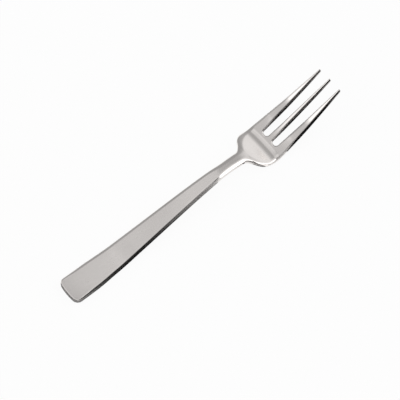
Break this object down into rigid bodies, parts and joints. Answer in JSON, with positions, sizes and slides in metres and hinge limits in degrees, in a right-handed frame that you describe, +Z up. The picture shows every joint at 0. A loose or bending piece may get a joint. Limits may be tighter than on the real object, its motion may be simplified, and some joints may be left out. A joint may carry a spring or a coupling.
{
  "type": "fish fork",
  "caption": "Fish fork pressed from stainless steel strip: flat tapering handle, arched neck, square-shouldered dished head and slender upswept tines.",
  "frame": {"origin": "on the table the fork lies on, under the centre of its bounding box", "axes": "+X along the fork from the handle's end to the tips, +Y to the fork's left, +Z up out of its face"},
  "size_m": [0.185, 0.0246, 0.0218],
  "materials": {
    "steel": "fine satin on the handle, polished on the head and edges"
  },
  "bodies": {
    "root": {"fork": "steel"}
  },
  "joints": []
}
